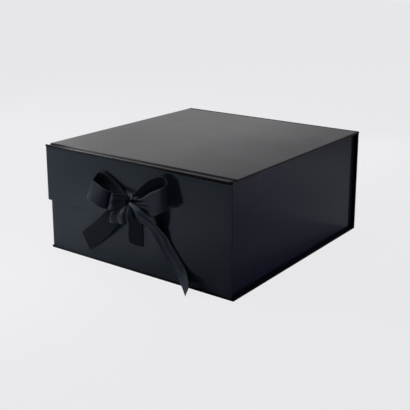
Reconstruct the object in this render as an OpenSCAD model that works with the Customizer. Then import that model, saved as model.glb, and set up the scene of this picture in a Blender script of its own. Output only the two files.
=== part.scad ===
// Book-style rigid gift box: a greyboard tray inside a wrapped case whose lid
// carries a magnetic front flap, tied with a ribbon bow.
// Units are millimetres. X runs along the front, +Y to the back, +Z up. The
// origin is the centre of the box's underside.

/* [Case] */
// Width of the case panels, left to right
case_w = 310; // [200:1:420]
// Depth of the box, from the face of its front wall to the back
case_d = 325; // [200:1:420]
// Height of the closed box
case_h = 150; // [120:1:220]
// Thickness of the greyboard
board_t = 2.5; // [1.5:0.1:4]
// Thickness of the laminated paper
paper_t = 0.25; // [0.15:0.05:0.5]
// How far the wrapping paper turns in over each board's inner face
turn_in = 16; // [10:1:25]

/* [Tray] */
// How far the front wall's ends stand inside the sides of the case
front_inset = 3; // [1:0.5:6]
// How far the side walls stand inside the sides of the case
side_inset = 5; // [2:0.5:10]
// Thickness of the tray's floor
floor_t = 2; // [1:0.1:4]

/* [Flap and hinges] */
// Height of the flap
flap_h = 78; // [60:1:90]
// Depth of the soft fold between the lid board and the boards that it meets
fold_gap = 6; // [5:0.5:10]
// Thickness of the paper in a fold
strip_t = 0.5; // [0.3:0.1:1]
// How far the folds lie below the top of the lid
strip_sink = 0.3; // [0.1:0.1:1]
// Air between parts that move past each other
gap = 0.3; // [0.2:0.05:0.6]

/* [Magnets] */
// Diameter of each magnet
magnet_d = 12; // [8:1:15]
// Thickness of each magnet
magnet_t = 1.2; // [0.8:0.1:1.4]
// Distance between the two magnets
magnet_spacing = 190; // [100:5:240]
// Height of the magnets above the flap's lower edge
magnet_rise = 22; // [12:1:30]
// Play round each magnet in its pocket
magnet_play = 0.1; // [0.05:0.05:0.3]

/* [Ribbon] */
// Width of the ribbon
ribbon_w = 25; // [15:1:30]
// Thickness of the ribbon
ribbon_t = 0.6; // [0.4:0.1:0.8]
// Place of the ribbon along the front, from the middle
ribbon_x = 3; // [-30:1:30]
// Distance of the flap's slit below the flap's upper edge
slit_drop = 38.5; // [34:0.5:42]
// Distance of the wall's slit below the flap's lower edge
wall_slit_drop = 33; // [20:1:36]
// Play round the ribbon in a slit
slit_play = 0.2; // [0.1:0.05:0.5]
// Length of ribbon glued down behind each slit
anchor_len = 22; // [10:1:30]

/* [Bow] */
// Width of the bow over its two loops
bow_w = 134; // [110:1:150]
// Width of the knot
knot_w = 15; // [10:1:20]
// Height of the knot
knot_h = 18; // [12:1:24]
// How far the knot stands out from the flap
knot_d = 15; // [12:1:20]

/* [Hidden] */
$fn = 48;

// Colours
wrap_black = [0.15, 0.15, 0.18];
top_black = [0.22, 0.21, 0.23];
liner_black = [0.10, 0.10, 0.11];
fold_black = [0.06, 0.06, 0.07];
grey_board = [0.55, 0.52, 0.48];
ribbon_black = [0.19, 0.19, 0.22];
magnet_grey = [0.72, 0.72, 0.75];

// Case: a wrapped panel is a board with paper on both faces
panel_t = board_t + 2 * paper_t;
half_w = case_w / 2;
front_y = -case_d / 2;
back_y = case_d / 2;
lid_front_y = front_y + fold_gap;
lid_back_y = back_y - fold_gap;
lid_z = case_h - panel_t;
strip_z = case_h - strip_sink - strip_t;
back_top_z = strip_z - gap;
flap_back_y = front_y - gap;
flap_front_y = flap_back_y - panel_t;
flap_top_z = strip_z - gap;
flap_bottom_z = flap_top_z - flap_h;

// Tray
tray_back_y = back_y - panel_t;
front_wall_x = half_w - front_inset;
side_x = half_w - side_inset;
rim_z = lid_z - gap;
inner_x = side_x - panel_t;
inner_front_y = front_y + panel_t;
inner_back_y = tray_back_y - panel_t;

// Magnets and slits
magnet_z = flap_bottom_z + magnet_rise;
slit_z = flap_top_z - slit_drop;
wall_slit_z = flap_bottom_z - wall_slit_drop;
slit_w = ribbon_w + 2 * slit_play;
slit_h = ribbon_t + 2 * slit_play;
eps = 0.01;

// Bow: places are counted from the knot's middle on the flap's face, in the
// proportions of a bow and knot of the usual size, [across, up, out]
usual_bow_w = 134;
usual_knot = [15, 18, 17];
knot_round = 4;
knot_stand = 2;
bow_k = (bow_w - knot_w) / (usual_bow_w - usual_knot.x);
out_k = (knot_stand + knot_d) / usual_knot.z;
knot_z = slit_z - 5 - knot_h / 2;
knot_x = ribbon_x + 2;
rings_per_span = 4;

// A box between two opposite corners
module block(lo, hi) {
  translate(lo) cube(hi - lo);
}

// Paper that wraps a board on every side, with a window on one face
module skin(lo, hi, window_lo, window_hi) {
  p = [paper_t, paper_t, paper_t];
  difference() {
    block(lo, hi);
    block(lo + p, hi - p);
    block(window_lo, window_hi);
  }
}

// The board inside a wrapped panel
module core(lo, hi) {
  p = [paper_t, paper_t, paper_t];
  block(lo + p, hi - p);
}

// Both magnets, or their pockets, facing along Y
module magnet_pair(d, y, t) {
  for (x = [-magnet_spacing / 2, magnet_spacing / 2])
    translate([x, y, magnet_z]) rotate([-90, 0, 0]) cylinder(d = d, h = t);
}

// The slit for the ribbon, cut right through a panel
module slit(y0, y1, z) {
  block([ribbon_x - slit_w / 2, y0 - eps, z - slit_h / 2], [ribbon_x + slit_w / 2, y1 + eps, z + slit_h / 2]);
}

// The shallow recess behind a slit, where the ribbon's end is glued
module recess(y, z) {
  block([ribbon_x - slit_w / 2, y - ribbon_t, z - slit_h / 2],
        [ribbon_x + slit_w / 2, y + eps, z + anchor_len + slit_play]);
}

// Ribbon through a slit: a tongue to the outside and a tab glued to the board
module anchor(y_out, y, z) {
  x0 = ribbon_x - ribbon_w / 2;
  x1 = ribbon_x + ribbon_w / 2;
  z0 = z - ribbon_t / 2;
  block([x0, y_out, z0], [x1, y, z + ribbon_t / 2]);
  block([x0, y - ribbon_t, z0], [x1, y, z + anchor_len]);
}

// Base and back of the case

module base_panel_board() {
  color(grey_board) core([-half_w, front_y, 0], [half_w, tray_back_y, panel_t]);
}

module base_panel_wrap() {
  color(wrap_black)
    skin([-half_w, front_y, 0], [half_w, tray_back_y, panel_t],
         [-half_w + turn_in, front_y + turn_in, panel_t - paper_t - eps],
         [half_w - turn_in, tray_back_y - turn_in, panel_t + eps]);
}

module back_panel_board() {
  color(grey_board) core([-half_w, tray_back_y, 0], [half_w, back_y, back_top_z]);
}

module back_panel_wrap() {
  color(wrap_black)
    skin([-half_w, tray_back_y, 0], [half_w, back_y, back_top_z],
         [-half_w + turn_in, tray_back_y - eps, panel_t + turn_in],
         [half_w - turn_in, tray_back_y + paper_t + eps, back_top_z - turn_in]);
}

// Tray: its four walls stand on the base, and one wrap covers them

module wall_board(lo, hi) {
  p = [paper_t, paper_t, paper_t];
  block([lo.x + paper_t, lo.y + paper_t, lo.z], hi - p);
}

module wall_wrap(lo, hi) {
  p = [paper_t, paper_t, paper_t];
  difference() {
    block(lo, hi);
    block([lo.x + paper_t, lo.y + paper_t, lo.z - eps], hi - p);
  }
}

front_wall_box = [[-front_wall_x, front_y, panel_t], [front_wall_x, inner_front_y, rim_z]];
left_wall_box = [[-side_x, inner_front_y, panel_t], [-inner_x, inner_back_y, rim_z]];
right_wall_box = [[inner_x, inner_front_y, panel_t], [side_x, inner_back_y, rim_z]];
back_wall_box = [[-side_x, inner_back_y, panel_t], [side_x, tray_back_y, rim_z]];

module front_wall() {
  board_back_y = inner_front_y - paper_t;
  color(grey_board)
    difference() {
      wall_board(front_wall_box[0], front_wall_box[1]);
      magnet_pair(magnet_d + 2 * magnet_play, front_y + paper_t - eps, magnet_t + eps);
      slit(front_y, inner_front_y, wall_slit_z);
      recess(board_back_y, wall_slit_z);
    }
}

module plain_wall(box) {
  color(grey_board) wall_board(box[0], box[1]);
}

module walls_wrap() {
  color(wrap_black)
    difference() {
      union() {
        for (box = [front_wall_box, left_wall_box, right_wall_box, back_wall_box])
          wall_wrap(box[0], box[1]);
      }
      slit(front_y, front_y + paper_t, wall_slit_z);
    }
}

module floor_board() {
  color(grey_board)
    block([-inner_x, inner_front_y, panel_t], [inner_x, inner_back_y, panel_t + floor_t]);
}

module floor_liner() {
  z = panel_t + floor_t;
  color(liner_black) block([-inner_x, inner_front_y, z], [inner_x, inner_back_y, z + paper_t]);
}

module magnets_in_wall() {
  color(magnet_grey) magnet_pair(magnet_d, front_y + paper_t, magnet_t);
}

// Lid

module lid_panel_board() {
  color(grey_board) core([-half_w, lid_front_y, lid_z], [half_w, lid_back_y, case_h]);
}

module lid_panel_wrap() {
  color(top_black)
    skin([-half_w, lid_front_y, lid_z], [half_w, lid_back_y, case_h],
         [-half_w + turn_in, lid_front_y + turn_in, lid_z - eps],
         [half_w - turn_in, lid_back_y - turn_in, lid_z + paper_t + eps]);
}

module lid_panel_liner() {
  color(liner_black)
    block([-half_w + turn_in, lid_front_y + turn_in, lid_z],
          [half_w - turn_in, lid_back_y - turn_in, lid_z + paper_t]);
}

module back_fold() {
  color(fold_black) block([-half_w, lid_back_y, strip_z], [half_w, back_y, strip_z + strip_t]);
}

module front_fold() {
  color(fold_black) block([-half_w, flap_front_y, strip_z], [half_w, lid_front_y, strip_z + strip_t]);
}

// Flap

module flap_panel_board() {
  board_back_y = flap_back_y - paper_t;
  color(grey_board)
    difference() {
      core([-half_w, flap_front_y, flap_bottom_z], [half_w, flap_back_y, flap_top_z]);
      magnet_pair(magnet_d + 2 * magnet_play, board_back_y - magnet_t, magnet_t + eps);
      slit(flap_front_y, flap_back_y, slit_z);
      recess(board_back_y, slit_z);
    }
}

flap_window_lo = [-half_w + turn_in, flap_back_y - paper_t, flap_bottom_z + turn_in];
flap_window_hi = [half_w - turn_in, flap_back_y, flap_top_z - turn_in];

module flap_panel_wrap() {
  color(wrap_black)
    difference() {
      skin([-half_w, flap_front_y, flap_bottom_z], [half_w, flap_back_y, flap_top_z],
           flap_window_lo - [0, eps, 0], flap_window_hi + [0, eps, 0]);
      slit(flap_front_y, flap_front_y + paper_t, slit_z);
    }
}

module flap_panel_liner() {
  color(liner_black) block(flap_window_lo, flap_window_hi);
}

module magnets_in_flap() {
  color(magnet_grey) magnet_pair(magnet_d, flap_back_y - paper_t - magnet_t, magnet_t);
}

// Ribbon

// A distance from the knot's middle: inside the knot it follows the knot's
// half size, and beyond the knot's side it follows the width of the bow
function away(v, half, usual) =
  abs(v) < usual ? v * half / usual : sign(v) * (half + bow_k * (abs(v) - usual));

// A place on the bow: across and up from the knot's middle, and out from the flap
function bow_point(s) = [
  knot_x + away(s.x, knot_w / 2, usual_knot.x / 2),
  flap_front_y - out_k * s.z,
  knot_z + away(s.y, knot_h / 2, usual_knot.y / 2)
];

// Half of the ribbon's width at a place, along the direction given there
function bow_half(d, share) = let (v = [d.x, -d.z, d.y]) v / norm(v) * ribbon_w * share / 2;

// How far below the knot's middle a share of the knot's height lies, as a place on the bow
function down(share) =
  let (drop = (1 - share) * knot_z, half = knot_h / 2)
  -(drop < half ? drop * usual_knot.y / knot_h : usual_knot.y / 2 + (drop - half) / bow_k);

// A point on a smooth curve through the points p, at place k of span i
function smooth(p, i, k) =
  let (a = p[max(i - 1, 0)], b = p[i], c = p[i + 1], d = p[min(i + 2, len(p) - 1)])
  b + (c - a) * k / 2
    + (a - 2.5 * b + 2 * c - d / 2) * k * k
    + (-a / 2 + 1.5 * b - 1.5 * c + d / 2) * k * k * k;

// Every point of that curve
function curve(p) = concat(
  [for (i = [0 : len(p) - 2], j = [0 : rings_per_span - 1]) smooth(p, i, j / rings_per_span)],
  [p[len(p) - 1]]);

// A ribbon of thickness t between two edges, each given by its points
module ribbon(edge_a, edge_b, t) {
  a = curve(edge_a);
  b = curve(edge_b);
  n = len(a);
  mid = (a + b) / 2;
  normals = [for (i = [0 : n - 1])
    let (along = mid[min(i + 1, n - 1)] - mid[max(i - 1, 0)], out = cross(b[i] - a[i], along))
    out / norm(out) * t / 2];
  points = [for (i = [0 : n - 1])
    let (out = normals[i])
    each [a[i] + out, b[i] + out, b[i] - out, a[i] - out]];
  sides = [for (i = [0 : n - 2], k = [0 : 3])
    [4 * i + k, 4 * i + 4 + k, 4 * i + 4 + (k + 1) % 4, 4 * i + (k + 1) % 4]];
  triangles = [for (s = sides) each [[s[0], s[1], s[2]], [s[0], s[2], s[3]]]];
  ends = [[0, 1, 2], [0, 2, 3], [4 * n - 2, 4 * n - 3, 4 * n - 4], [4 * n - 1, 4 * n - 2, 4 * n - 4]];
  polyhedron(points = points, faces = concat(triangles, ends), convexity = 6);
}

// A ribbon through stations [place, direction of its width, share of its width]
module bow_ribbon(stations, t = ribbon_t) {
  a = [for (s = stations) bow_point(s[0]) - bow_half(s[1], s[2])];
  b = [for (s = stations) bow_point(s[0]) + bow_half(s[1], s[2])];
  color(ribbon_black) ribbon(a, b, t);
}

module ribbon_in_wall() {
  color(ribbon_black) anchor(front_y - gap - ribbon_t, inner_front_y - paper_t, wall_slit_z);
}

module ribbon_in_flap() {
  color(ribbon_black) anchor(flap_front_y - gap - ribbon_t, flap_back_y - paper_t, slit_z);
}

// The strand from the wall's slit to just under the knot
module lower_strand() {
  y_wall = front_y - gap - ribbon_t / 2;
  y_flap = flap_front_y - gap - ribbon_t / 2;
  x = [ribbon_w / 2, 0, 0];
  centre = [
    [ribbon_x, y_wall, wall_slit_z + ribbon_t / 2],
    [ribbon_x, y_wall, wall_slit_z + 0.6 * wall_slit_drop],
    [ribbon_x, (y_wall + y_flap) / 2 - gap, flap_bottom_z - 4],
    [ribbon_x, y_flap - gap, flap_bottom_z + 3],
    [ribbon_x, y_flap - gap, knot_z - knot_h / 2 - 3 * gap]
  ];
  color(ribbon_black) ribbon([for (c = centre) c - x], [for (c = centre) c + x], ribbon_t);
}

// The strand from the flap's slit to the top of the knot
module upper_strand() {
  start = [ribbon_x, flap_front_y - gap - ribbon_t / 2, slit_z - ribbon_t / 2 - gap];
  finish = [knot_x, flap_front_y - knot_stand - knot_d / 2, knot_z + knot_h / 2 + 2 * gap];
  middle = (start + finish) / 2 - [0, gap, 0];
  x = [ribbon_w / 2, 0, 0];
  color(ribbon_black) ribbon(
    [start - x, middle - 0.65 * x, finish - 0.4 * x],
    [start + x, middle + 0.65 * x, finish + 0.4 * x],
    ribbon_t);
}

// The outline of a rectangle with round corners, centred on the origin
function round_outline(size, r) = [
  for (quarter = [0 : 3], step = [0 : 3])
    let (
      turn = 90 * quarter + 30 * step,
      sx = quarter == 0 || quarter == 3 ? 1 : -1,
      sy = quarter < 2 ? 1 : -1
    )
    [sx * (size.x / 2 - r) + r * cos(turn), sy * (size.y / 2 - r) + r * sin(turn)]
];

module knot() {
  color(ribbon_black)
    translate([knot_x, flap_front_y - knot_stand - knot_d / 2, knot_z])
      linear_extrude(height = knot_h, center = true) polygon(round_outline([knot_w, knot_d], knot_round));
}

// Stations: [[across, up, out], [width direction: across, up, out], share of the width]

left_loop = [
  [[-9, 2, 7], [0.3, 1, 0], 0.4],
  [[-22, 10, 4], [0.45, 1, 0], 0.75],
  [[-38, 20, 4], [0.45, 1, 0], 1],
  [[-53, 22, 7], [0.3, 1, -0.2], 1],
  [[-62, 14, 13], [0.15, 1, -0.3], 1],
  [[-57, 6, 20], [0.4, 1, -0.3], 1],
  [[-42, 0, 22], [0.5, 1, -0.2], 1],
  [[-26, -4, 18], [0.5, 1, 0], 0.9],
  [[-9, -4, 13], [0.3, 1, 0], 0.4]
];

right_loop = [
  [[9, 3, 6], [-0.3, 1, 0], 0.4],
  [[27, 17, 3], [-0.5, 1, 0], 0.75],
  [[46, 29, 4], [-0.5, 1, 0], 1],
  [[63, 30, 8], [-0.3, 1, -0.2], 1],
  [[69, 18, 15], [-0.3, 1, -0.2], 1],
  [[60, 10, 21], [-0.4, 1, -0.2], 1],
  [[44, 4, 21], [-0.6, 1, 0], 1],
  [[26, 0, 16], [-0.6, 1, 0], 0.8],
  [[9, -1, 13], [-0.3, 1, 0], 0.4]
];

pleats = [
  [[0, -10, 10], [1, 0, 0], 0.5],
  [[-3, -16, 11], [1, 0.05, 0], 1.3],
  [[-5, -23, 9], [1, 0.1, 0], 1.9]
];

left_tail = [
  [[-8.2, -8.2, 5], [-0.6, 1, 0], 0.25],
  [[-32, -25, 4], [-0.6, 1, 0], 0.8],
  [[-54, -42, 2.5], [-0.6, 1, 0], 1],
  [[-92, -72, 1.5], [-0.6, 1, 0], 1]
];

// The long tail's heights are shares of the knot's height, so it ends at the floor
long_tail = [
  [[0, 0.93, 17.6], [0.2, 1, 0], 0.35],
  [[12, 0.95, 19.5], [0.2, 1, 0.3], 0.35],
  [[26, 0.97, 24], [0.5, 0.6, 1], 0.4],
  [[43, 0.86, 25], [0.7, 0.6, 1], 0.5],
  [[58, 0.63, 23], [0.8, 0.6, 0.8], 0.7],
  [[71, 0.44, 20], [0.9, 0.5, 0.5], 0.8],
  [[84, 0.24, 17], [1, 0.4, 0.3], 0.8],
  [[94, 0.02, 14], [1, 0.3, 0.2], 0.2]
];

module tail_to_floor() {
  stations = [for (s = long_tail) [[s[0].x, down(s[0].y), s[0].z], s[1], s[2]]];
  bow_ribbon(stations);
}

base_panel_board();  // base_board
base_panel_wrap();  // base_wrap
back_panel_board();  // back_board
back_panel_wrap();  // back_wrap
floor_board();  // tray_floor
front_wall();  // tray_front_wall
plain_wall(left_wall_box);  // tray_left_wall
plain_wall(right_wall_box);  // tray_right_wall
plain_wall(back_wall_box);  // tray_back_wall
walls_wrap();  // tray_wrap
floor_liner();  // tray_liner
magnets_in_wall();  // wall_magnets
ribbon_in_wall();  // wall_ribbon_anchor
lower_strand();  // ribbon_lower_strand
lid_panel_board();  // lid_board
lid_panel_wrap();  // lid_wrap
lid_panel_liner();  // lid_liner
back_fold();  // back_hinge_strip
front_fold();  // front_hinge_strip
flap_panel_board();  // flap_board
flap_panel_wrap();  // flap_wrap
flap_panel_liner();  // flap_liner
magnets_in_flap();  // flap_magnets
ribbon_in_flap();  // flap_ribbon_anchor
upper_strand();  // ribbon_upper_strand
knot();  // bow_knot
bow_ribbon(left_loop);  // bow_left_loop
bow_ribbon(right_loop);  // bow_right_loop
bow_ribbon(pleats, 2.5);  // bow_pleats
bow_ribbon(left_tail);  // bow_left_tail
tail_to_floor();  // bow_long_tail
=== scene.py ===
"""The looks of a book-style rigid gift box tied with a ribbon bow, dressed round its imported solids."""

import logging
import math
from dataclasses import dataclass
from enum import Enum
from typing import Sequence

import bmesh
import bpy
import numpy as np
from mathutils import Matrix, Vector


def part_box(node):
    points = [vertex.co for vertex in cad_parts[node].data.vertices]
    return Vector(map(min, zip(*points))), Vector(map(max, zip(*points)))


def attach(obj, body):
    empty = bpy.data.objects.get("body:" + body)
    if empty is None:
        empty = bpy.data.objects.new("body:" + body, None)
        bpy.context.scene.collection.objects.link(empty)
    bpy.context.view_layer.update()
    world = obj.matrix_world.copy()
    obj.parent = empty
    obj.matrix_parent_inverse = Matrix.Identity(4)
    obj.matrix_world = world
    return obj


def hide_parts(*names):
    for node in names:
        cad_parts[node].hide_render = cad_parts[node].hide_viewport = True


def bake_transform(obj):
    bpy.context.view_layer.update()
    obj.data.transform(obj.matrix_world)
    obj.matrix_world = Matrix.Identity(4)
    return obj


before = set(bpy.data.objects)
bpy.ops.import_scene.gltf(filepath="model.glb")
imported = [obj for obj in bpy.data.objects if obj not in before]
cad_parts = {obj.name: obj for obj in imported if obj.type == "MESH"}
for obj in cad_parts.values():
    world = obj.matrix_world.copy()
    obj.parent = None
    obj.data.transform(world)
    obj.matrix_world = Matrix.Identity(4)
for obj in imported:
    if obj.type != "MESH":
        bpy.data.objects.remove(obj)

LOG = logging.getLogger("gift_box")
MM = 0.001

Pair = tuple[float, float]
Triple = tuple[float, float, float]


class Body(Enum):
    """The moving bodies of the box."""

    ROOT = "root"
    LID = "lid"
    FLAP = "flap"


class Slot(Enum):
    """The material slots, listed beside the pieces' finishes."""

    BOARD = "greyboard"
    WRAP = "wrap_paper"
    LID_PAPER = "lid_paper"
    LINER = "liner_paper"
    FOLD = "fold_paper"
    RIBBON = "ribbon"
    MAGNET = "magnet"


class Held(Enum):
    """How a ribbon is held in its shape."""

    FOLDED = "folded"
    GATHERED = "gathered"
    HUNG = "hung"


# Shader expressions

# A Mix node's inputs for colours, and its output, by number
MIX_FACTOR, MIX_BELOW, MIX_ABOVE = 0, 6, 7
MIX_COLOUR = 2


class Graph:
    """The nodes of one material or world."""

    def __init__(self, tree: bpy.types.NodeTree) -> None:
        """Takes over a node tree, and empties it."""
        self.tree = tree
        tree.nodes.clear()

    def node(self, kind: str, settings: dict | None = None, sockets: dict | None = None) -> bpy.types.Node:
        """Adds one node.

        Args:
            kind: the node's type.
            settings: its properties, set before its inputs.
            sockets: values or links for its inputs, by name or number.

        Returns:
            The node.
        """
        made = self.tree.nodes.new(kind)
        for name, value in (settings or {}).items():
            setattr(made, name, value)
        for name, value in (sockets or {}).items():
            self.plug(made.inputs[name], value)
        return made

    def plug(self, socket: bpy.types.NodeSocket, value: object) -> None:
        """Links or sets one input.

        Args:
            socket: the input.
            value: a Field, an output socket, or a plain value.
        """
        if isinstance(value, Field):
            value = value.source
        if isinstance(value, bpy.types.NodeSocket):
            self.tree.links.new(value, socket)
        elif isinstance(value, tuple) and len(value) == 3 and socket.type == "RGBA":
            socket.default_value = (*value, 1)
        else:
            socket.default_value = value

    def field(self, kind: str, settings: dict | None = None, sockets: dict | None = None,
              output: int | str = 0) -> "Field":
        """One output of a new node, ready for expressions. The node is made as by node()."""
        return Field(self, self.node(kind, settings, sockets).outputs[output])


@dataclass(frozen=True)
class Field:
    """A number or a colour that varies over a surface."""

    graph: Graph
    source: bpy.types.NodeSocket

    def _math(self, operation: str, *values: object) -> "Field":
        """A Math node on these values."""
        return self.graph.field("ShaderNodeMath", {"operation": operation}, dict(enumerate(values)))

    def __add__(self, other: object) -> "Field":
        """self + other."""
        return self._math("ADD", self, other)

    __radd__ = __add__

    def __sub__(self, other: object) -> "Field":
        """self - other."""
        return self._math("SUBTRACT", self, other)

    def __rsub__(self, other: object) -> "Field":
        """other - self."""
        return self._math("SUBTRACT", other, self)

    def __mul__(self, other: object) -> "Field":
        """self * other."""
        return self._math("MULTIPLY", self, other)

    __rmul__ = __mul__

    def __abs__(self) -> "Field":
        """The size of self."""
        return self._math("ABSOLUTE", self)

    def larger(self, other: object) -> "Field":
        """The larger of self and other."""
        return self._math("MAXIMUM", self, other)

    def stripes(self, spacing: float) -> "Field":
        """Soft even stripes from 0 to 1 across self, spaced in the unit of self."""
        return self._math("SINE", self * (2 * math.pi / spacing)) * 0.5 + 0.5

    def ramp(self, low: float, high: float) -> "Field":
        """Smooth step of self from low to high.

        Args:
            low: where it is 0.
            high: where it is 1.

        Returns:
            The step, from 0 to 1.
        """
        return self.graph.field(
            "ShaderNodeMapRange",
            {"interpolation_type": "SMOOTHSTEP"},
            {"Value": self, "From Min": low, "From Max": high},
        )

    def mix(self, below: "Field | Triple", above: Triple) -> "Field":
        """The colour below where self is 0, and the colour above where self is 1."""
        sockets = {MIX_FACTOR: self, MIX_BELOW: below, MIX_ABOVE: above}
        return self.graph.field("ShaderNodeMix", {"data_type": "RGBA"}, sockets, MIX_COLOUR)


class MaterialGraph(Graph):
    """The nodes of one material."""

    def __init__(self, name: str) -> None:
        """Starts the material.

        Args:
            name: its name.
        """
        self.material = bpy.data.materials.new(name)
        self.material.use_nodes = True
        super().__init__(self.material.node_tree)
        self.place = self.node("ShaderNodeTexCoord").outputs["Object"]

    def axis(self, name: str, of: bpy.types.NodeSocket | None = None) -> Field:
        """The X, Y or Z of the place on the piece, in metres, or of other coordinates."""
        return self.field("ShaderNodeSeparateXYZ", None, {0: self.place if of is None else of}, name)

    def noise(self, size: float, detail: float = 3, rough: float = 0.5) -> Field:
        """Cloudy noise.

        Args:
            size: the width of its largest features, in metres.
            detail: how many finer layers it has.
            rough: how strong those are.

        Returns:
            The noise, about 0.5.
        """
        return self.field(
            "ShaderNodeTexNoise",
            None,
            {"Vector": self.place, "Scale": 1 / size, "Detail": detail, "Roughness": rough},
        )

    def specks(self, spacing: float) -> Field:
        """How far the nearest of scattered points is, in units of their spacing in metres."""
        return self.field("ShaderNodeTexVoronoi", None, {"Vector": self.place, "Scale": 1 / spacing})

    def bump(self, height: Field, distance: float, strength: float = 1,
             over: Field | None = None) -> Field:
        """Fine relief.

        Args:
            height: the relief, about 0 to 1.
            distance: its depth in metres.
            strength: how strongly it shows.
            over: a coarser relief below it.

        Returns:
            The bent normal.
        """
        sockets = {"Height": height, "Distance": distance, "Strength": strength}
        if over is not None:
            sockets["Normal"] = over
        return self.field("ShaderNodeBump", None, sockets)

    def finish(self, sockets: dict) -> bpy.types.Material:
        """Closes the material with its Principled shader.

        Args:
            sockets: the shader's inputs.

        Returns:
            The material.
        """
        shader = self.node("ShaderNodeBsdfPrincipled", None, sockets)
        self.node("ShaderNodeOutputMaterial", None, {"Surface": shader.outputs[0]})
        return self.material


# Finishes: a field that ends in _share is how much of that pattern shows in the colour


@dataclass(frozen=True)
class LaminatedPaper:
    """Dark paper under a soft-touch film, wrapped over board.

    The film is rubbed duller along the box, from none at rub_from to all at rub_to.
    """

    name: str
    colour: Triple
    worn: Triple
    roughness: float
    gloss: float
    film: Triple = (1.0, 1.0, 1.0)
    rubbed: float = 0.0
    rub_from: float = -0.09
    rub_to: float = -0.15
    cloud: float = 60 * MM
    cloud_share: float = 0.35
    fibre: float = 0.4 * MM
    fibre_share: float = 0.25
    fibre_depth: float = 0.012 * MM
    speck: float = 2.1 * MM
    speck_edge: Pair = (0.10, 0.03)
    speck_share: float = 0.35
    speck_relief: float = 0.4
    scuff: float = 13 * MM
    scuff_edge: Pair = (0.62, 0.80)
    scuff_share: float = 0.18
    scuff_dulls: float = 0.06
    uneven: float = 0.10
    sway: float = 45 * MM
    sway_depth: float = 0.06 * MM

    def material(self) -> bpy.types.Material:
        """Makes the finish.

        Returns:
            Its material.
        """
        graph = MaterialGraph(self.name)
        rub = graph.axis("X").ramp(self.rub_from, self.rub_to) * self.rubbed
        cloud = graph.noise(self.cloud, detail=4)
        fibre = graph.noise(self.fibre, detail=5, rough=0.6)
        speck = graph.specks(self.speck).ramp(*self.speck_edge)
        scuff = graph.noise(self.scuff, detail=6, rough=0.65).ramp(*self.scuff_edge)
        base = (cloud * self.cloud_share + fibre * self.fibre_share).mix(self.colour, self.worn)
        base = (speck * self.speck_share + scuff * self.scuff_share).mix(base, self.worn)
        patchy = (cloud - 0.5) * self.uneven + (fibre - 0.5) * self.uneven
        broad = graph.bump(graph.noise(self.sway, detail=2), self.sway_depth)
        relief = fibre + speck * self.speck_relief
        return graph.finish({
            "Base Color": base,
            "Roughness": patchy + scuff * self.scuff_dulls + rub + self.roughness,
            "Specular IOR Level": self.gloss,
            "Specular Tint": (*self.film, 1),
            "Normal": graph.bump(relief, self.fibre_depth, strength=0.8, over=broad),
        })


@dataclass(frozen=True)
class LinerPaper:
    """Uncoated paper with a fine laid grain, pasted inside the box."""

    name: str
    colour: Triple
    light: Triple
    roughness: float = 0.68
    gloss: float = 0.25
    felt: float = 1.1 * MM
    felt_share: float = 0.5
    felt_dulls: float = 0.15
    cloud: float = 50 * MM
    cloud_share: float = 0.3
    laid: float = 1.2 * MM
    laid_share: float = 0.1
    laid_relief: float = 0.25
    depth: float = 0.03 * MM

    def material(self) -> bpy.types.Material:
        """Makes the finish.

        Returns:
            Its material.
        """
        graph = MaterialGraph(self.name)
        felt = graph.noise(self.felt, detail=6, rough=0.7)
        cloud = graph.noise(self.cloud)
        laid = graph.axis("X").stripes(self.laid)
        grain = felt * self.felt_share + cloud * self.cloud_share + laid * self.laid_share
        return graph.finish({
            "Base Color": grain.mix(self.colour, self.light),
            "Roughness": felt * self.felt_dulls + self.roughness,
            "Specular IOR Level": self.gloss,
            "Normal": graph.bump(felt + laid * self.laid_relief, self.depth),
        })


@dataclass(frozen=True)
class Greyboard:
    """Pressed grey board with flecks of fibre."""

    name: str
    colour: Triple
    fleck: Triple
    lighter: float = 1.35
    roughness: float = 0.85
    gloss: float = 0.15
    cloud: float = 12 * MM
    cloud_dulls: float = 0.1
    flecks: float = 1.9 * MM
    fleck_edge: Pair = (0.2, 0.05)
    grain: float = 0.6 * MM
    depth: float = 0.06 * MM

    def material(self) -> bpy.types.Material:
        """Makes the finish.

        Returns:
            Its material.
        """
        graph = MaterialGraph(self.name)
        cloud = graph.noise(self.cloud, detail=5, rough=0.65)
        fleck = graph.specks(self.flecks).ramp(*self.fleck_edge)
        pulp = cloud.mix(self.colour, tuple(self.lighter * c for c in self.colour))
        return graph.finish({
            "Base Color": fleck.mix(pulp, self.fleck),
            "Roughness": cloud * self.cloud_dulls + self.roughness,
            "Specular IOR Level": self.gloss,
            "Normal": graph.bump(cloud + graph.noise(self.grain), self.depth),
        })


@dataclass(frozen=True)
class PlatedMagnet:
    """Nickel plating with fine turning lines and dull clouds."""

    name: str
    colour: Triple
    darker: float = 0.8
    roughness: float = 0.18
    line: float = 0.4 * MM
    line_dulls: float = 0.05
    line_depth: float = 0.008 * MM
    cloud: float = 4 * MM
    cloud_dulls: float = 0.15

    def material(self) -> bpy.types.Material:
        """Makes the finish.

        Returns:
            Its material.
        """
        graph = MaterialGraph(self.name)
        lines = graph.axis("Z").stripes(self.line)
        dull = graph.noise(self.cloud, detail=4)
        return graph.finish({
            "Base Color": dull.mix(self.colour, tuple(self.darker * c for c in self.colour)),
            "Metallic": 1.0,
            "Roughness": dull * self.cloud_dulls + lines * self.line_dulls + self.roughness,
            "Normal": graph.bump(lines, self.line_depth),
        })


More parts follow.
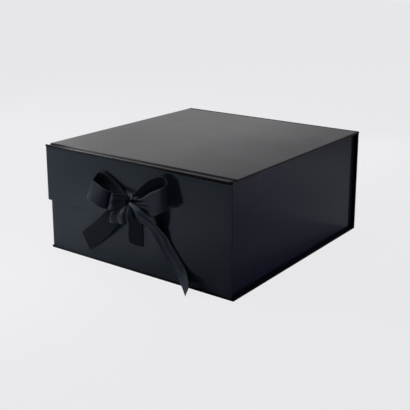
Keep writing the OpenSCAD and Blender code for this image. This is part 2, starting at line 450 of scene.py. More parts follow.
@dataclass(frozen=True)
class SatinRibbon:
    """Satin ribbon: fine cross ribs, a floated sheen, and woven selvedges whose lighter colour is also a
    painted highlight along the edges.
    """

    name: str
    colour: Triple
    lit: Triple
    roughness: float = 0.44
    gloss: float = 0.08
    width: float = 25 * MM
    rib: float = 0.85 * MM
    rib_share: float = 0.25
    rib_relief: float = 0.7
    thread: float = 0.55 * MM
    thread_share: float = 0.1
    thread_relief: float = 0.2
    slub: float = 4 * MM
    slub_share: float = 0.5
    slub_dulls: float = 0.16
    slub_depth: float = 0.25 * MM
    # The woven selvedge's colour, lighter than the ribbon: partly its own weave, partly a painted highlight
    # along both edges
    selvedge_and_highlight: Triple = (0.024, 0.029, 0.040)
    selvedge_width: float = 1.3 * MM
    selvedge_blur: float = 0.3 * MM
    selvedge_share: float = 0.75
    selvedge_dulls: float = 0.12
    selvedge_relief: float = 0.5
    weave_depth: float = 0.06 * MM
    sheen: float = 0.01
    sheen_roughness: float = 0.4
    sheen_tint: Triple = (0.6, 0.62, 0.68)

    def material(self) -> bpy.types.Material:
        """Makes the finish.

        Returns:
            Its material.
        """
        graph = MaterialGraph(self.name)
        uv = graph.node("ShaderNodeUVMap", {"uv_map": "Ribbon"}).outputs[0]
        across = graph.axis("X", uv)
        ribs = graph.axis("Y", uv).stripes(self.rib)
        threads = across.stripes(self.thread)
        inside = abs(across - self.width / 2) - (self.width / 2 - self.selvedge_width)
        edge = inside.ramp(-self.selvedge_blur, self.selvedge_blur)
        slub = graph.noise(self.slub, detail=4, rough=0.6)
        weave = slub * self.slub_share + ribs * self.rib_share + threads * self.thread_share
        # The selvedges' lighter colour, partly a painted highlight along the edges
        base = (edge * self.selvedge_share).mix(weave.mix(self.colour, self.lit), self.selvedge_and_highlight)
        relief = ribs * self.rib_relief + threads * self.thread_relief + edge * self.selvedge_relief
        soft = graph.bump(slub, self.slub_depth, strength=0.6)
        return graph.finish({
            "Base Color": base,
            "Roughness": slub * self.slub_dulls + edge * self.selvedge_dulls + self.roughness,
            "Specular IOR Level": self.gloss,
            "Sheen Weight": self.sheen,
            "Sheen Roughness": self.sheen_roughness,
            "Sheen Tint": (*self.sheen_tint, 1),
            "Normal": graph.bump(relief, self.weave_depth, strength=0.7, over=soft),
        })


class Finishes:
    """Every finish of the box, made once."""

    def __init__(self) -> None:
        """Makes the materials."""
        self.wrap = LaminatedPaper(
            "wrap_laminated_paper", (0.0070, 0.0110, 0.0168), (0.0140, 0.0204, 0.0296),
            roughness=0.18, gloss=0.16, film=(0.73, 0.85, 1.0)).material()
        # Near-black paper, darker than the wrap: painted shade on the base and back lips, and painted shadow
        # on the strip under the front fold
        self.case = LaminatedPaper(
            "case_laminated_paper_painted_shade", (0.0010, 0.0010, 0.0015), (0.003, 0.003, 0.004),
            roughness=0.5, gloss=0.03).material()
        self.lid = LaminatedPaper(
            "lid_laminated_paper", (0.0088, 0.0070, 0.0084), (0.0165, 0.0142, 0.016),
            roughness=0.26, gloss=0.117, film=(1.0, 0.93, 0.98), rubbed=0.16, rub_from=-0.02,
            rub_to=0.2).material()
        self.fold = LaminatedPaper(
            "fold_laminated_paper", (0.0045, 0.0050, 0.0070), (0.012, 0.012, 0.015),
            roughness=0.30, gloss=0.10, rubbed=0.5).material()
        self.liner = LinerPaper(
            "liner_black_paper", (0.009, 0.009, 0.010), (0.020, 0.020, 0.021)).material()
        self.board = Greyboard("pressed_greyboard", (0.24, 0.22, 0.19), (0.08, 0.07, 0.06)).material()
        self.magnet = PlatedMagnet("nickel_plated_magnet", (0.62, 0.60, 0.57)).material()
        self.ribbon = SatinRibbon(
            "black_satin_ribbon", (0.0033, 0.0051, 0.0104), (0.0082, 0.0120, 0.0228)).material()
        # A lighter copy of the satin: a painted sheen on the long tail
        self.ribbon_painted_sheen = SatinRibbon(
            "black_ribbon_painted_sheen", (0.0084, 0.0122, 0.0200), (0.0205, 0.0290, 0.0450)).material()
        # The ribbon's dull back: a duller satin, darkened beyond its own tone as painted shade inside the
        # loops and on the lower strand
        self.ribbon_dull_back_and_shade = SatinRibbon(
            "black_ribbon_dull_back_and_shade", (0.0010, 0.0018, 0.0044), (0.0028, 0.0046, 0.0098),
            roughness=0.54, gloss=0.05).material()


# Mesh tools


def place(name: str, data: bpy.types.ID) -> bpy.types.Object:
    """Puts a mesh, a lamp or a camera in the scene.

    Args:
        name: its name there.
        data: the mesh, the lamp or the camera.

    Returns:
        Its object.
    """
    made = bpy.data.objects.new(name, data)
    bpy.context.scene.collection.objects.link(made)
    return made


def smooth(mesh: bpy.types.Mesh) -> None:
    """Shades every face of a mesh smooth."""
    for polygon in mesh.polygons:
        polygon.use_smooth = True


def modify(piece: bpy.types.Object, kind: str, **settings: object) -> None:
    """Adds one modifier.

    Args:
        piece: the piece.
        kind: the modifier's type.
        settings: its properties.
    """
    modifier = piece.modifiers.new(kind.lower(), kind)
    for name, value in settings.items():
        setattr(modifier, name, value)


def settle(piece: bpy.types.Object) -> None:
    """Applies every modifier to the piece's own mesh.

    Args:
        piece: the piece.
    """
    bpy.context.view_layer.update()
    graph = bpy.context.evaluated_depsgraph_get()
    mesh = bpy.data.meshes.new_from_object(piece.evaluated_get(graph), depsgraph=graph)
    old = piece.data
    piece.modifiers.clear()
    piece.data = mesh
    bpy.data.meshes.remove(old)
    mesh.name = piece.name


def dress(piece: bpy.types.Object, material: bpy.types.Material) -> None:
    """Gives a piece its material.

    Args:
        piece: the piece.
        material: its finish.
    """
    piece.data.materials.clear()
    piece.data.materials.append(material)
    LOG.info("%s in %s", piece.name, material.name)


@dataclass(frozen=True)
class Box:
    """A box between two corners, in metres."""

    lo: Triple
    hi: Triple

    @classmethod
    def of(cls, node: str) -> "Box":
        """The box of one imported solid."""
        lo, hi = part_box(node)
        return cls(tuple(lo), tuple(hi))

    @classmethod
    def around(cls, middle: Triple, half: Triple) -> "Box":
        """The box that reaches half its size to each side of a point."""
        return cls(tuple(c - h for c, h in zip(middle, half)), tuple(c + h for c, h in zip(middle, half)))

    def holds(self, point: Vector, slack: float = 1e-7) -> bool:
        """Whether a point lies in the box."""
        return all(a - slack <= p <= b + slack for a, p, b in zip(self.lo, point, self.hi))


@dataclass(frozen=True)
class PaperShell:
    """Paper wrapped round a board, with the windows that it leaves open.

    Its edges are rounded where the paper turns by more than sharp, in radians.
    """

    box: Box
    windows: tuple[Box, ...]
    radius: float = 0.6 * MM
    round_steps: int = 4
    sharp: float = 1.0

    def skin(self) -> bpy.types.Mesh:
        """Makes the shell's outer skin.

        Returns:
            The skin, as a mesh of its own.
        """
        bm = bmesh.new()
        size = [b - a for a, b in zip(self.box.lo, self.box.hi)]
        for v in bmesh.ops.create_cube(bm, size=1)["verts"]:
            v.co = Vector([a + (c + 0.5) * s for a, c, s in zip(self.box.lo, v.co, size)])
        for window in self.windows:
            self._cut_round(bm, window)
        bm.faces.ensure_lookup_table()
        inside = [f for f in bm.faces if any(w.holds(f.calc_center_median()) for w in self.windows)]
        bmesh.ops.delete(bm, geom=inside, context="FACES")
        edges = [e for e in bm.edges if len(e.link_faces) == 2 and e.calc_face_angle(0) > self.sharp]
        bmesh.ops.bevel(bm, geom=edges, offset=self.radius, segments=self.round_steps, profile=0.5,
                        affect="EDGES", clamp_overlap=True)
        mesh = bpy.data.meshes.new("shell")
        bm.to_mesh(mesh)
        bm.free()
        return mesh

    def _cut_round(self, bm: bmesh.types.BMesh, window: Box) -> None:
        """Splits the mesh along each side of a window that crosses it.

        Args:
            bm: the mesh.
            window: the window.
        """
        for axis in range(3):
            normal = Vector([float(axis == k) for k in range(3)])
            for corner in (window.lo, window.hi):
                if self.box.lo[axis] < corner[axis] < self.box.hi[axis]:
                    geometry = [*bm.verts, *bm.edges, *bm.faces]
                    bmesh.ops.bisect_plane(bm, geom=geometry, plane_co=corner, plane_no=normal)


@dataclass(frozen=True)
class PaperPiece:
    """One piece of wrapping paper, made of one or more shells."""

    name: str
    shells: Sequence[PaperShell]
    thickness: float = 0.25 * MM
    flatness: int = 90

    def build(self) -> bpy.types.Object:
        """Joins the shells and gives them their thickness.

        Returns:
            The piece.
        """
        bm = bmesh.new()
        for shell in self.shells:
            bm.from_mesh(shell.skin())
        mesh = bpy.data.meshes.new(self.name)
        bm.to_mesh(mesh)
        bm.free()
        piece = place(self.name, mesh)
        smooth(mesh)
        modify(piece, "SOLIDIFY", thickness=self.thickness, offset=-1, use_even_offset=True)
        modify(piece, "WEIGHTED_NORMAL", keep_sharp=True, weight=self.flatness)
        settle(piece)
        return piece


# Sub-assemblies

# How far a ribbon's slit reaches from its middle, along each axis
SLIT_HALF: Triple = (12.7 * MM, 1 * MM, 0.5 * MM)
WALLS = ("tray_front_wall", "tray_left_wall", "tray_right_wall", "tray_back_wall")


@dataclass(frozen=True)
class SubAssembly:
    """A part of the box, and the finishes that it is dressed in."""

    finishes: Finishes

    def build(self) -> None:
        """Makes and dresses its pieces."""
        raise NotImplementedError


@dataclass(frozen=True)
class Carried(SubAssembly):
    """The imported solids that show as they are."""

    boards: tuple[str, ...] = ("base_board", "back_board", "tray_floor", *WALLS, "lid_board", "flap_board")
    liners: tuple[str, ...] = ("tray_liner", "lid_liner", "flap_liner")
    magnets: tuple[str, ...] = ("wall_magnets", "flap_magnets")
    anchors: tuple[str, ...] = ("wall_ribbon_anchor", "flap_ribbon_anchor")

    def build(self) -> None:
        """Gives each one its finish."""
        jobs = (
            (self.boards, self.finishes.board, Slot.BOARD),
            (self.liners, self.finishes.liner, Slot.LINER),
            (self.magnets, self.finishes.magnet, Slot.MAGNET),
            (self.anchors, self.finishes.ribbon, Slot.RIBBON),
        )
        for names, material, slot in jobs:
            for name in names:
                dress(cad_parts[name], material)


@dataclass(frozen=True)
class CasePapers(SubAssembly):
    """The papers that wrap the base, the back, the lid and the flap.

    Each is turned in over its board's hidden face, and leaves a window there.
    """

    turn_in: float = 16 * MM
    back_foot: float = 3 * MM
    reach: float = 1 * MM
    flap_slit: Triple = (3 * MM, -165.8 * MM, 110.4 * MM)

    def _window(self, node: str, axis: int, low: bool, foot: float = 0) -> Box:
        """The part of one face that the turned-in paper leaves open.

        Args:
            node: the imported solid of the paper.
            axis: the axis that the face looks along, as 0, 1 or 2.
            low: whether it is the lower face on that axis.
            foot: how much more paper its lower edge keeps.

        Returns:
            The window.
        """
        box = Box.of(node)
        lo = [a + self.turn_in for a in box.lo]
        hi = [b - self.turn_in for b in box.hi]
        lo[2] += foot
        face = box.lo[axis] if low else box.hi[axis]
        lo[axis], hi[axis] = face - self.reach, face + self.reach
        return Box(tuple(lo), tuple(hi))

    def build(self) -> None:
        """Makes the four papers."""
        base = (self._window("base_wrap", 2, False),)
        back = (self._window("back_wrap", 1, True, self.back_foot),)
        lid = (self._window("lid_wrap", 2, True),)
        flap = (self._window("flap_wrap", 1, False), Box.around(self.flap_slit, SLIT_HALF))
        jobs = (
            # The base and back papers take the near-black finish, a painted shade along their lips
            ("base_paper", "base_wrap", base, Body.ROOT, self.finishes.case, Slot.WRAP),
            ("back_paper", "back_wrap", back, Body.ROOT, self.finishes.case, Slot.WRAP),
            ("lid_paper_cover", "lid_wrap", lid, Body.LID, self.finishes.lid, Slot.LID_PAPER),
            ("flap_paper", "flap_wrap", flap, Body.FLAP, self.finishes.wrap, Slot.WRAP),
        )
        for name, node, windows, body, material, slot in jobs:
            piece = PaperPiece(name, (PaperShell(Box.of(node), windows),)).build()
            dress(piece, material)
            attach(piece, body.value)
            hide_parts(node)


@dataclass(frozen=True)
class TrayPapers(SubAssembly):
    """The paper that covers the tray's four walls."""

    paper: float = 0.25 * MM
    wall_slit: Triple = (3 * MM, -162.5 * MM, 37.9 * MM)

    def _wall(self, node: str) -> PaperShell:
        """The shell round one wall: all but its foot, and the slit in the front one.

        Args:
            node: the wall's packed board.

        Returns:
            The shell.
        """
        board = Box.of(node)
        lo = (board.lo[0] - self.paper, board.lo[1] - self.paper, board.lo[2])
        hi = tuple(c + self.paper for c in board.hi)
        foot = Box((lo[0], lo[1], lo[2] - self.paper), (hi[0], hi[1], lo[2] + self.paper / 2))
        slit = (Box.around(self.wall_slit, SLIT_HALF),) if node == WALLS[0] else ()
        return PaperShell(Box(lo, hi), (foot, *slit))

    def build(self) -> None:
        """Makes the tray's paper."""
        piece = PaperPiece("tray_paper", [self._wall(wall) for wall in WALLS]).build()
        dress(piece, self.finishes.wrap)
        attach(piece, Body.ROOT.value)
        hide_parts("tray_wrap")


@dataclass(frozen=True)
class FoldSection:
    """The section of a paper fold, in millimetres, which may swell along the box.

    Each point is its y, its z and its share of the swelling. The swelling grows from least by growth
    over the span of x, and moves the points along swell.
    """

    points: tuple[Triple, ...]
    swell: Pair = (0, 0)
    least: float = 0
    growth: float = 0
    span: Pair = (0, 1)

    def at(self, x: float) -> list[Triple]:
        """The section at one place along the box.

        Args:
            x: the place, in metres.

        Returns:
            Its points, in metres, with x as 0.
        """
        start, end = self.span
        share = min(max((x / MM - start) / (end - start), 0), 1)
        size = self.least + self.growth * share * share * (3 - 2 * share)
        out, up = self.swell
        return [(0.0, (y + out * size * own) * MM, (z + up * size * own) * MM) for y, z, own in self.points]


@dataclass(frozen=True)
class Folds(SubAssembly):
    """The two paper folds that the lid and the flap turn on, and a near-black strip below the front one that
    paints the shadow under its bead.
    """

    half_width: float = 154.9 * MM
    columns: int = 72
    steps: int = 3
    thickness: float = 0.45 * MM
    front: FoldSection = FoldSection((
        (-155.4, 149.75, 0), (-156.3, 149.55, 0), (-156.9, 148.6, 0), (-157.8, 147.6, 0), (-160.0, 147.4, 0),
        (-162.4, 147.9, 0), (-163.9, 149.1, 0), (-165.2, 149.4, 0), (-166.0, 149.25, 0.8),
        (-166.3, 148.95, 1), (-166.2, 148.7, 1), (-165.9, 148.5, 0.5), (-165.5, 148.2, 0),
    ), swell=(-1, 0), least=0.1, growth=1.5, span=(-60, 155))
    # A near-black strip under the front fold's bead, a painted shadow that grows towards the right
    edge: FoldSection = FoldSection((
        (-166.0, 148.75, 0), (-166.18, 148.5, 0), (-166.18, 148.2, 0), (-166.16, 148.4, 1),
        (-165.9, 148.2, 1),
    ), swell=(0, -1), least=0.5, growth=2.2, span=(-5, 125))
    back: FoldSection = FoldSection((
        (155.6, 149.62, 0), (156.6, 149.46, 0), (157.4, 149.2, 0), (158.4, 149.3, 0), (159.8, 149.58, 0),
        (161.2, 149.60, 0), (162.3, 149.25, 0), (162.9, 148.5, 0), (162.95, 147.6, 0), (162.6, 146.6, 0),
    ))

    def _sheet(self, name: str, section: FoldSection, forward: bool) -> bpy.types.Object:
        """A strip of paper with that section.

        Args:
            name: the piece's name.
            section: the section.
            forward: whether its outer side looks to the front.

        Returns:
            The piece.
        """
        xs = np.linspace(-self.half_width, self.half_width, self.columns + 1)
        rows = [Curve(section.at(x)).points(self.steps) for x in xs]
        verts = [(x, p[1], p[2]) for x, row in zip(xs, rows) for p in row]
        n = len(rows[0])
        corners = [i * n + j for i in range(self.columns) for j in range(n - 1)]
        faces = [(a, a + n, a + n + 1, a + 1) for a in corners]
        mesh = bpy.data.meshes.new(name)
        mesh.from_pydata(verts, [], faces if forward else [face[::-1] for face in faces])
        smooth(mesh)
        piece = place(name, mesh)
        modify(piece, "SOLIDIFY", thickness=self.thickness, offset=-1)
        settle(piece)
        return piece

    def build(self) -> None:
        """Makes both folds, and the strip below the front one."""
        front = self._sheet("front_fold_paper", self.front, True)
        dress(front, self.finishes.fold)
        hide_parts("front_hinge_strip")
        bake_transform(front)
        # A painted shadow: the near-black strip under the front fold's bead
        edge = self._sheet("front_fold_painted_shadow", self.edge, True)
        dress(edge, self.finishes.case)
        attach(edge, Body.FLAP.value)
        back = self._sheet("back_fold_paper", self.back, False)
        dress(back, self.finishes.fold)
        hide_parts("back_hinge_strip")
        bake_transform(back)


# Ribbon


@dataclass(frozen=True)
class Curve:
    """A smooth curve through points of any number of coordinates."""

    through: Sequence[Sequence[float]]

    def at(self, t: float) -> np.ndarray:
        """One point of the curve.

        Args:
            t: its place, where whole numbers are the given points.

        Returns:
            The point.
        """
        p = np.asarray(self.through, float)
        last = len(p) - 1
        i = min(int(t), last - 1)
        k = t - i
        a, b, c, d = p[max(i - 1, 0)], p[i], p[i + 1], p[min(i + 2, last)]
        return (b + (c - a) * k / 2 + (a - 2.5 * b + 2 * c - d / 2) * k * k
                + (-a / 2 + 1.5 * b - 1.5 * c + d / 2) * k ** 3)

    def points(self, steps: int) -> list[np.ndarray]:
        """Points along the whole curve, with that many steps to each span."""
        spans = len(self.through) - 1
        return [self.at(i / steps) for i in range(spans * steps)] + [self.at(float(spans))]


@dataclass(frozen=True)
class Station:
    """One place along a ribbon, in millimetres.

    The place is across, up and out from the knot's middle on the flap's face; lean is the direction
    of the ribbon's width; share is the share of its width that shows; cup is how far its middle
    stands proud of its edges; and crimp is the depth of its gathers.
    """

    place: Triple
    lean: Triple
    share: float
    cup: float = 0.0
    crimp: float = 0.0

    def row(self) -> list[float]:
        """All its numbers, in one row."""
        lean = Vector(self.lean).normalized()
        return [*self.place, *lean, self.share, self.cup, self.crimp]


# Where a station's numbers stand in its row
PLACE, LEAN = slice(0, 3), slice(3, 6)
SHARE, CUP, CRIMP = 6, 7, 8


def unit(rows: np.ndarray) -> np.ndarray:
    """Each row as a vector of length 1."""
    return rows / np.linalg.norm(rows, axis=1)[:, None]


@dataclass(frozen=True)
class RibbonPiece:
    """A length of ribbon through stations, with its gathers and ripples.

    Lengths are in millimetres, but flat and thickness are in metres. The end is cut slantwise: cut is how
    much shorter its second edge is than its first. gathers is how many gathers lie across the ribbon, and
    sway and uneven are how far they wander and differ. dull_shaded_side is whether its faces look to the
    dull back, which is darkened beyond its own tone as painted shade, and painted_sheen is whether the other
    side is a lighter copy of the satin that paints a sheen.
    """

    name: str
    stations: tuple[Station, ...]
    node: str
    body: Body = Body.FLAP
    flat: Pair = (0.025, 0.1)
    held: Held = Held.FOLDED
    rests_on: tuple[str, ...] = ("bow_knot",)
    gathers: float = 2.5
    phase: float = 0.4
    cut: float = 0.0
    ripple: float = 0.35
    ripple_length: float = 7.0
    ripple_turn: float = 3.1
    roll_length: float = 17.0
    roll_start: float = 1.3
    sway: float = 0.07
    sway_length: float = 19.0
    sway_turn: float = 5.1
    uneven: float = 0.4
    uneven_turn: float = 9.0
    # Whether the faces look to the dull back, darkened as painted shade, and whether the satin is its
    # lighter copy, a painted sheen
    dull_shaded_side: bool = True
    painted_sheen: bool = False
    columns: int = 20
    steps: int = 10
    width: float = 25.0
    thickness: float = 0.4 * MM
    origin: Triple = (5.0, -165.8, 96.4)

    def _rows(self) -> tuple[np.ndarray, np.ndarray]:
        """The numbers along the ribbon, and the length to each row.

        Returns:
            The rows, and their places along the ribbon in millimetres.
        """
        rows = np.array(Curve([s.row() for s in self.stations]).points(self.steps))
        steps = np.linalg.norm(np.diff(rows[:, PLACE], axis=0), axis=1)
        return rows, np.concatenate([[0.0], np.cumsum(steps)])

    def _relief(self, u: float, places: np.ndarray, cup: np.ndarray, crimp: np.ndarray) -> np.ndarray:
        """How far one line along the ribbon stands out of its smooth course.

        Args:
            u: the line's place across the ribbon, from 0 to 1.
            places: the places along it, in millimetres.
            cup: how far the ribbon's middle stands proud there.
            crimp: the depth of the gathers there.

        Returns:
            The relief, in millimetres.
        """
        sway = u + self.sway * np.sin(self.sway_turn * u + 2 * self.phase + places / self.sway_length)
        depth = crimp * (1 + self.uneven * np.sin(self.uneven_turn * u + 5 * self.phase))
        fold = (2 * np.abs(np.sin(math.pi * self.gathers * sway + self.phase)) - 1) * depth
        ripple = np.sin(places / self.ripple_length + self.ripple_turn * u + self.phase)
        roll = np.sin(places / self.roll_length + self.roll_start)
        side = 2 * u - 1
        return cup * (1 - side * side) + fold + self.ripple * ripple * roll

    def _surface(self) -> tuple[np.ndarray, np.ndarray]:
        """The ribbon's middle surface.

        Returns:
            Its points by row and column in metres, and their places on the flat ribbon.
        """
        rows, length = self._rows()
        total = length[-1]
        count = len(rows)
        points = np.zeros((count, self.columns + 1, 3))
        flat = np.zeros((count, self.columns + 1, 2))
        for j in range(self.columns + 1):
            u = j / self.columns
            places = length * (1 - self.cut * u / total)
            line = np.array([np.interp(places, length, rows[:, k]) for k in range(rows.shape[1])]).T
            along = unit(np.gradient(line[:, PLACE], axis=0))
            lean = unit(line[:, LEAN])
            out = unit(np.cross(lean, along))
            offset = line[:, SHARE] * self.width * (u - 0.5)
            lift = self._relief(u, places, line[:, CUP], line[:, CRIMP])
            across, up, proud = (line[:, PLACE] + lean * offset[:, None] + out * lift[:, None]).T
            x, y, z = self.origin
            points[:, j] = np.stack([x + across, y - proud, z + up], 1) * MM
            flat[:, j] = np.stack([np.full(count, u * self.width), places], 1) * MM
        return points, flat

    def build(self, finishes: Finishes) -> None:
        """Args:
            finishes: the finishes of the box.
        """
        points, flat = self._surface()
        count, n = points.shape[:2]
        corners = [i * n + j for i in range(count - 1) for j in range(n - 1)]
        mesh = bpy.data.meshes.new(self.name)
        mesh.from_pydata([tuple(p) for p in points.reshape(-1, 3)], [],
                         [(a, a + 1, a + n + 1, a + n) for a in corners])
        # The satin side, or its lighter copy that paints a sheen, and the dull back, darkened as painted
        # shade
        satin = finishes.ribbon_painted_sheen if self.painted_sheen else finishes.ribbon
        for side in (finishes.ribbon_dull_back_and_shade, satin) if self.dull_shaded_side else (satin, finishes.ribbon_dull_back_and_shade):
            mesh.materials.append(side)
        layer = mesh.uv_layers.new(name="Ribbon")
        places = flat.reshape(-1, 2)
        for loop in mesh.loops:
            layer.data[loop.index].uv = places[loop.vertex_index]
        smooth(mesh)
        piece = place(self.name, mesh)
        modify(piece, "SOLIDIFY", thickness=self.thickness, offset=0, material_offset=1)
        settle(piece)
        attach(piece, self.body.value)
        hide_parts(self.node)
        LOG.info("ribbon %s, %.0f mm long", self.name, flat[:, 0, 1].max() / MM)


@dataclass(frozen=True)
class Bow(SubAssembly):
    """The ribbon's two strands and the bow that they are tied in."""

    # The band round the middle of the bow
    knot: RibbonPiece = RibbonPiece("bow_knot_band", tuple(
        Station((-2, up, out), (1, 0.2, 0), share, 0, crimp) for up, out, share, crimp in (
            (9, 2, 0.7, 0.9), (10.5, 5.5, 0.62, 1.2), (9.5, 9.5, 0.54, 1.4), (7, 11.8, 0.5, 1.4),
            (3.5, 12.4, 0.48, 1.4), (0, 11.8, 0.5, 1.4), (-2.5, 9.5, 0.54, 1.4), (-3.5, 5.5, 0.62, 1.2),
            (-2, 2, 0.7, 0.9),
        )
    ), "bow_knot", flat=(0.025, 0.032), held=Held.GATHERED, rests_on=("flap_paper",), gathers=3,
        dull_shaded_side=False)
    # The loop on the left
    left_loop: RibbonPiece = RibbonPiece("bow_loop_left", (
        Station((-6, 5, 6), (0.1, 1, 0), 0.35, 0, 0.8),
        Station((-28, 10, 3), (0.5, 0.9, 0), 0.85, 0, 0.6),
        Station((-47, 18, 3), (0.5, 0.8, 0), 1.05, 0, 0.2),
        Station((-59, 21, 6), (0.4, 0.9, -0.1), 1.05),
        Station((-63, 16, 12), (0.4, 0.9, -0.15), 1.08),
        Station((-62, 11, 16.5), (0.3, 0.9, -0.2), 1.06),
        Station((-54, 9, 19), (0.3, 0.9, -0.3), 1.02),
        Station((-41, 5, 20.5), (0.2, 0.9, -0.3), 1.0),
        Station((-33, 2.5, 18.5), (0.1, 1, -0.3), 0.97),
        Station((-30, 2, 14), (0.1, 1, -0.3), 0.95),
        Station((-25, 2, 18), (0, 1, -0.3), 0.88, 0, -0.3),
        Station((-20, 3, 19), (-0.1, 1, -0.3), 0.8, 0, -0.5),
        Station((-13, 4, 12), (0, 1, -0.2), 0.6, 0, -0.8),
        Station((-4, 4, 6.5), (0, 1, 0), 0.38, 0, -0.9),
    ), "bow_left_loop", flat=(0.025, 0.15), ripple=0.15)
    # The loop on the right
    right_loop: RibbonPiece = RibbonPiece("bow_loop_right", (
        Station((2, 5, 8), (0, 1, 0.3), 0.4, 0, 0.6),
        Station((18, 13, 9), (-0.4, 0.9, 0.55), 0.8, 0, 0.3),
        Station((38, 27, 7.5), (-0.4, 0.9, 0.5), 1.05, 0, 0.1),
        Station((54, 32, 5.5), (-0.25, 1, 0.15), 1.08),
        Station((62, 27.5, 8.5), (-0.15, 1, 0), 1.12),
        Station((63.5, 22.5, 14), (-0.2, 1, -0.1), 1.12),
        Station((58, 18, 18.5), (-0.2, 1, -0.15), 1.16),
        Station((44, 11, 18.5), (-0.25, 1, -0.2), 1.15),
        Station((30, 7, 15.5), (-0.4, 0.9, -0.15), 0.74, 0, -0.3),
        Station((15, 4.5, 11.5), (-0.4, 0.9, 0), 0.42, 0, -0.6),
        Station((2, 3.5, 7.5), (0, 1, 0), 0.35, 0, -0.8),
    ), "bow_right_loop", flat=(0.025, 0.17), phase=2.1, ripple=0.15, dull_shaded_side=False)
    # The gathered ribbon that fans out below the knot
    pleats: RibbonPiece = RibbonPiece("bow_gathers", (
        Station((-2, 1, 9.5), (1, 0.1, 0.1), 0.5, 0, -1.0),
        Station((-4, -5, 16), (1, 0.1, 0.1), 1.05, -0.5, -1.2),
        Station((-6, -14, 19), (1, 0.15, 0.1), 1.6, -1.5, -1.5),
        Station((-7, -24, 16), (1, 0.15, 0.1), 1.9, -2, -1.5),
    ), "bow_pleats", flat=(0.045, 0.024), held=Held.GATHERED, gathers=3, phase=0.2, columns=44)
    # The short tail, cut square, at the lower left
    left_tail: RibbonPiece = RibbonPiece("bow_tail_left", (
        Station((-8, -6, 5), (-0.5, 0.9, 0.05), 0.4, 0, 0.8),
        Station((-21, -15, 12), (-0.4, 0.9, 0.15), 0.86, 0, 0.4),
        Station((-38, -30, 10), (-0.35, 0.9, 0.16), 1.1, 0.4),
        Station((-59, -48, 5), (-0.4, 0.9, 0.16), 1.14, 0.6),
        Station((-90, -71, -0.6), (-0.42, 0.9, 0.12), 1.16, 0.3),
    ), "bow_left_tail", flat=(0.025, 0.11), held=Held.HUNG, ripple=0.1)
    # The long tail that falls to the floor in front of the box, in a lighter copy of the satin that paints a
    # sheen on it
    long_tail: RibbonPiece = RibbonPiece("bow_tail_long", (
        Station((1, 2, 13), (0.7, 0.7, 0.3), 0.42, 0, 0.9),
        Station((13, -2, 17), (0.7, 0.7, 0.3), 0.85, 0, 1.6),
        Station((23, -8, 19), (0.7, 0.7, 0.3), 1.05, 0, 1.6),
        Station((34, -15, 14.5), (0.7, 0.6, 0.4), 0.98, 0, 1.0),
        Station((39, -26, 7.5), (0.75, 0.5, 0.35), 0.9, 0.6, 0.6),
        Station((43, -39, -0.6), (0.85, 0.45, 0.08), 0.80, 0.3, 0.6),
        Station((52, -53, -1.8), (0.85, 0.5, 0.04), 0.80, 0.3, 0.45),
        Station((63, -66, -1.8), (0.85, 0.5, 0.04), 0.80, 0.3, 0.45),
        Station((75, -79, 0.4), (0.8, 0.55, 0.05), 0.74, 0.3, 0.4),
        Station((88, -89, 9.5), (0.75, 0.6, 0.1), 0.52, 0.3),
        Station((97, -94.1, 19), (0.7, 0.6, 0), 0.22),
    ), "bow_long_tail", flat=(0.025, 0.16), held=Held.HUNG, cut=10, gathers=1.6, phase=0.3, ripple=0.2,
        painted_sheen=True)
    # The strand from the flap's slit to the knot
    upper_strand: RibbonPiece = RibbonPiece("strand_upper", (
        Station((-2, 13.6, 0.6), (1, 0, 0), 1.0),
        Station((2, 14.4, 4.5), (1, 0.05, 0), 0.92, 0, 0.2),
        Station((7, 13, 9.5), (1, 0.1, 0), 0.8, 0, 0.4),
        Station((8, 8.5, 12.5), (1, 0.1, 0), 0.6, 0, 0.6),
    ), "ribbon_upper_strand", flat=(0.025, 0.012), held=Held.GATHERED, rests_on=("flap_paper",))
    # The strand from the wall's slit to just under the knot
    lower_strand: RibbonPiece = RibbonPiece("strand_lower", tuple(
        Station((-2, up, out), (1, 0, 0), share, cup, crimp) for up, out, share, cup, crimp in (
            (-58.2, -2.6, 1, 0, 0), (-50, -2.3, 1, 0, 0), (-38, -2.2, 1, 0, 0), (-29, -0.7, 1, -0.3, 0.1),
            (-21, 1.3, 0.98, -0.5, 0.2), (-12, 1.8, 0.9, 0, 0.3),
        )
    ), "ribbon_lower_strand", body=Body.ROOT, flat=(0.025, 0.047), held=Held.HUNG,
        rests_on=("tray_paper",), ripple=0.1)

    def build(self) -> None:
        """Makes every ribbon of the bow."""
        for ribbon in (self.knot, self.left_loop, self.right_loop, self.pleats, self.left_tail,
                       self.long_tail, self.upper_strand, self.lower_strand):
            ribbon.build(self.finishes)


# Studio


@dataclass(frozen=True)
class Lamp:
    """A square soft lamp: its size in metres, and the angle of its beam in degrees."""

    name: str
    at: Triple
    size: float
    watts: float
    aim: Triple = (0, 0, 0.08)
    beam: float = 180
    tint: Triple = (1, 1, 1)

    def build(self) -> None:
        """Puts the lamp in the scene."""
        light = bpy.data.lights.new(self.name, "AREA")
        light.shape, light.size, light.energy = "SQUARE", self.size, self.watts
        light.spread, light.color = math.radians(self.beam), self.tint
        lamp = place(self.name, light)
        lamp.location = self.at
        lamp.rotation_euler = (Vector(self.aim) - Vector(self.at)).to_track_quat("-Z", "Y").to_euler()


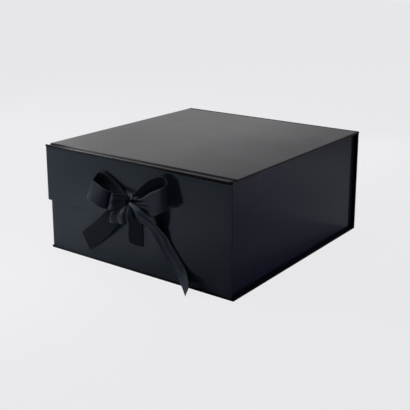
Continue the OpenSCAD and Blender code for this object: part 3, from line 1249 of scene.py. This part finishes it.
@dataclass(frozen=True)
class Studio:
    """Floor, backdrop, lamps and camera.

    Angles are in degrees, and lengths in metres, but the camera's stand, lens and sensor are in millimetres.
    """

    pale: Triple = (0.815, 0.815, 0.831)
    floor_reach: float = 6.0
    floor_height: float = -0.2 * MM
    floor_tone: Triple = (0.8, 0.8, 0.8)
    glow: float = 0.975
    shadow_share: float = 0.05
    fill: Triple = (0.9, 0.93, 1.0)
    fill_strength: float = 0.03
    azimuth: float = 36.291
    elevation: float = 13.884
    stand: Triple = (638.404, -877.908, 399.591)
    lens: float = 68.86
    sensor: float = 36
    shift: float = -0.134
    nearest: float = 0.01
    farthest: float = 100
    lamps: tuple[Lamp, ...] = (
        Lamp("key", (-0.88, -0.44, 0.52), 0.45, 7.7, (0, -0.16, 0.08)),
        Lamp("back_left", (-1.06, 0.38, 0.73), 0.45, 6.0, (0, 0, 0.08)),
        Lamp("top", (-0.14, 0.0, 1.5), 0.9, 5.6),
        Lamp("right", (1.1, 0.25, 0.5), 0.4, 0.26, (0.15, 0, 0.08), 60, (0.5, 0.38, 1.0)),
        Lamp("behind", (-0.05, 0.95, 0.1), 0.1, 0.8, (-0.02, 0.16, 0.1), 50),
        Lamp("low_left", (-0.24, -0.60, 1.1), 0.15, 0.27, (-0.16, -0.34, 0), 26),
        Lamp("low_right", (0.65, 0.45, 0.5), 0.2, 0.28, (0.55, 0.35, 0), 70, (0.9, 0.86, 1.0)),
    )

    def _seen(self, graph: Graph) -> Field:
        """The rays that see the backdrop: from the camera, and by gloss and glass.

        Args:
            graph: the backdrop's nodes.

        Returns:
            1 on those rays, and 0 on the others.
        """
        paths = graph.node("ShaderNodeLightPath").outputs
        seen = Field(graph, paths["Is Camera Ray"])
        return seen.larger(Field(graph, paths["Is Glossy Ray"])).larger(
            Field(graph, paths["Is Transmission Ray"]))

    def floor(self) -> None:
        """A plain pale floor that keeps a faint shadow."""
        mesh = bpy.data.meshes.new("floor")
        reach, low = self.floor_reach, self.floor_height
        corners = [(-reach, -reach, low), (reach, -reach, low), (reach, reach, low), (-reach, reach, low)]
        mesh.from_pydata(corners, [], [(0, 1, 2, 3)])
        floor = place("floor", mesh)
        graph = MaterialGraph("pale_floor")
        plain = graph.node("ShaderNodeBsdfDiffuse", None, {"Color": self.floor_tone})
        glow = graph.node("ShaderNodeEmission", None, {"Color": self.pale, "Strength": self.glow})
        share = tuple(c * self.shadow_share for c in self.pale)
        faint = graph.node("ShaderNodeBsdfDiffuse", None, {"Color": share})
        both = graph.node("ShaderNodeAddShader", None, {0: glow.outputs[0], 1: faint.outputs[0]})
        camera = graph.node("ShaderNodeLightPath").outputs["Is Camera Ray"]
        mixed = graph.node("ShaderNodeMixShader", None,
                           {0: camera, 1: plain.outputs[0], 2: both.outputs[0]})
        graph.node("ShaderNodeOutputMaterial", None, {"Surface": mixed.outputs[0]})
        floor.data.materials.append(graph.material)

    def sky(self) -> None:
        """A pale backdrop all round, and a softer fill from it."""
        world = bpy.data.worlds.new("pale_room")
        bpy.context.scene.world = world
        world.use_nodes = True
        graph = Graph(world.node_tree)
        seen = graph.node("ShaderNodeBackground", None, {"Color": self.pale, "Strength": 1.0})
        fill = graph.node("ShaderNodeBackground", None, {"Color": self.fill, "Strength": self.fill_strength})
        mixed = graph.node("ShaderNodeMixShader", None,
                           {0: self._seen(graph), 1: fill.outputs[0], 2: seen.outputs[0]})
        graph.node("ShaderNodeOutputWorld", None, {"Surface": mixed.outputs[0]})

    def camera(self) -> None:
        """The camera, at the angle of a catalogue view."""
        turn, tilt = math.radians(self.azimuth), math.radians(self.elevation)
        back = Vector((math.sin(turn) * math.cos(tilt), -math.cos(turn) * math.cos(tilt), math.sin(tilt)))
        data = bpy.data.cameras.new("camera")
        data.lens, data.sensor_width, data.shift_y = self.lens, self.sensor, self.shift
        data.clip_start, data.clip_end = self.nearest, self.farthest
        camera = place("camera", data)
        camera.location = Vector(self.stand) * MM
        camera.rotation_euler = (-back).to_track_quat("-Z", "Y").to_euler()
        bpy.context.scene.camera = camera

    def build(self) -> None:
        """Sets up the whole studio."""
        bpy.context.scene.view_settings.view_transform = "Standard"
        self.floor()
        self.sky()
        for lamp in self.lamps:
            lamp.build()
        self.camera()


def main() -> None:
    """Dresses the box, piece by piece, and sets the studio."""
    logging.basicConfig(level=logging.INFO, format="%(name)s: %(message)s")
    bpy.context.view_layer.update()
    finishes = Finishes()
    for part in (Carried, CasePapers, TrayPapers, Folds, Bow):
        part(finishes).build()
    Studio().build()


if __name__ == "__main__":
    main()
